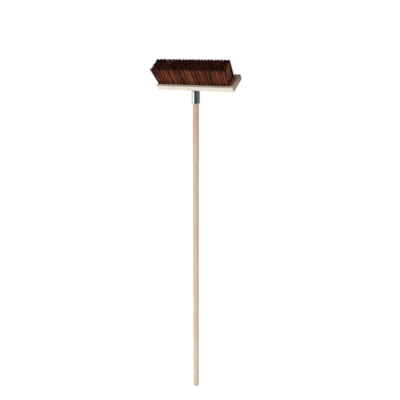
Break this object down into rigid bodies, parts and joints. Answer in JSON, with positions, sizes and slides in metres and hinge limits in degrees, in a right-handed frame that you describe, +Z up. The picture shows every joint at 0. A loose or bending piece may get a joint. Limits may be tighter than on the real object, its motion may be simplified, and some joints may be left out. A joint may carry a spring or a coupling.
{
  "type": "push broom",
  "caption": "Push broom with a wooden block, rows of stiff brown bristles, an angled bright metal socket and a long round wooden handle with a hanging hole.",
  "frame": {"origin": "centre of the flat lower end of the handle", "axes": "+Z up along the handle to the head, +X along the block, -Y the side that the bristles lean to"},
  "size_m": [0.4013, 0.1333, 1.5584],
  "materials": {
    "block_wood": "planed, unvarnished beech",
    "handle_wood": "sanded, unvarnished beech",
    "bristle": "stiff red-brown filament",
    "socket_metal": "bright plated steel",
    "screw_metal": "zinc-plated steel"
  },
  "bodies": {
    "stick": {"handle": "handle_wood"},
    "head": {"handle_socket": "socket_metal", "mounting_plate": "socket_metal", "plate_screw_1": "screw_metal", "plate_screw_2": "screw_metal", "plate_screw_3": "screw_metal", "plate_screw_4": "screw_metal", "block": "block_wood", "bristle_row_1": "bristle", "bristle_row_2": "bristle", "bristle_row_3": "bristle", "bristle_row_4": "bristle", "bristle_row_5": "bristle"},
    "clamp": {"clamp_screw": "screw_metal"}
  },
  "joints": [
    {"name": "head_pull_off", "type": "slide", "parent": "stick", "child": "head", "axis": [0, 0, 1], "range_m": [0, 0.045]},
    {"name": "clamp_screw_turn", "type": "hinge", "parent": "head", "child": "clamp", "pos_m": [0, 0.0185, 1.384], "axis": [0, 1, 0], "range_deg": [0, 720]}
  ]
}
